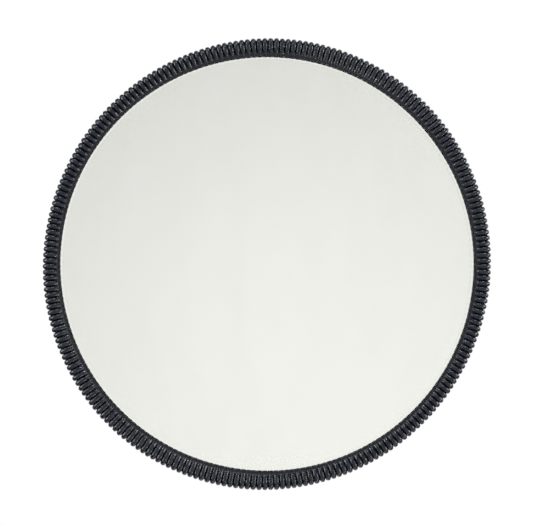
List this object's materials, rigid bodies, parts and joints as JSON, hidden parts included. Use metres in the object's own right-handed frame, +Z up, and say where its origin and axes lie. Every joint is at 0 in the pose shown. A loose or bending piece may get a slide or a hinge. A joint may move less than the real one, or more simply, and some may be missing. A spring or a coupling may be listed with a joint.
{
  "type": "convex wall mirror",
  "caption": "Round convex acrylic observation mirror with a ribbed black edge trim, on a telescopic wall bracket with a ball joint.",
  "frame": {"origin": "middle of the wall plate's back face, on the mirror's own axis", "axes": "+Y into the wall, so the mirror faces -Y; +Z up; +X to the right of someone facing the mirror"},
  "size_m": [0.4572, 0.2339, 0.4572],
  "materials": {
    "black_paint": "satin black powder coat on steel",
    "black_steel": "black oxide on alloy steel",
    "zinc_steel": "bright zinc plate on turned steel",
    "brass_tip": "turned brass",
    "white_acetal": "natural acetal, turned",
    "black_nylon": "moulded glass-filled nylon",
    "hardboard": "tempered hardboard",
    "black_foam": "closed-cell foam tape",
    "mirror_film": "vacuum-metallised second surface",
    "clear_acrylic": "polished clear acrylic sheet, formed to a dome",
    "black_vinyl": "extruded and ribbed soft vinyl"
  },
  "bodies": {
    "wall_bracket": {"wall_plate": "black_paint", "tube_grub_screw": "black_steel", "outer_tube": "black_paint", "tube_bush": "white_acetal", "clamp_collar": "black_paint"},
    "clamp_tip": {"clamp_pad": "brass_tip"},
    "clamp_handle": {"clamp_screw": "zinc_steel", "clamp_knob": "black_nylon"},
    "rod": {"inner_rod": "zinc_steel", "stop_pin": "zinc_steel", "socket_body": "black_paint", "socket_roll_pin": "zinc_steel"},
    "ring": {"lock_ring": "black_nylon"},
    "ball_pan": {"ball_liner": "white_acetal"},
    "ball": {"ball_stud": "zinc_steel", "lock_nut": "zinc_steel"},
    "mirror_head": {"mounting_flange": "black_paint", "flange_washers": "zinc_steel", "flange_screws": "zinc_steel", "flange_nuts": "zinc_steel", "stiffener_plate": "zinc_steel", "backing_plate": "hardboard", "foam_ring": "black_foam", "mirror_film": "mirror_film", "mirror_lens": "clear_acrylic", "edge_trim": "black_vinyl"}
  },
  "joints": [
    {"name": "arm_slide", "type": "slide", "parent": "wall_bracket", "child": "rod", "axis": [0, -1, 0], "range_m": [0, 0.05]},
    {"name": "clamp_screw_turn", "type": "hinge", "parent": "clamp_tip", "child": "clamp_handle", "pos_m": [0, -0.079, 0], "axis": [-1, 0, 0], "range_deg": [0, 360]},
    {"name": "clamp_pad_slide", "type": "slide", "parent": "wall_bracket", "child": "clamp_tip", "axis": [-1, 0, 0], "range_m": [0, 0.001]},
    {"name": "lock_ring_turn", "type": "hinge", "parent": "rod", "child": "ring", "pos_m": [0, -0.14, 0], "axis": [0, -1, 0], "range_deg": [0, 120]},
    {"name": "head_pan", "type": "hinge", "parent": "rod", "child": "ball_pan", "pos_m": [0, -0.14, 0], "axis": [0, 0, 1], "range_deg": [-20, 20]},
    {"name": "head_tilt", "type": "hinge", "parent": "ball_pan", "child": "ball", "pos_m": [0, -0.14, 0], "axis": [1, 0, 0], "range_deg": [-20, 20]},
    {"name": "head_roll", "type": "hinge", "parent": "ball", "child": "mirror_head", "pos_m": [0, -0.14, 0], "axis": [0, -1, 0], "continuous": true}
  ],
  "couplings": [
    {"joint": "clamp_pad_slide", "follows": "clamp_screw_turn", "m_per_rad": 0.00015915}
  ]
}
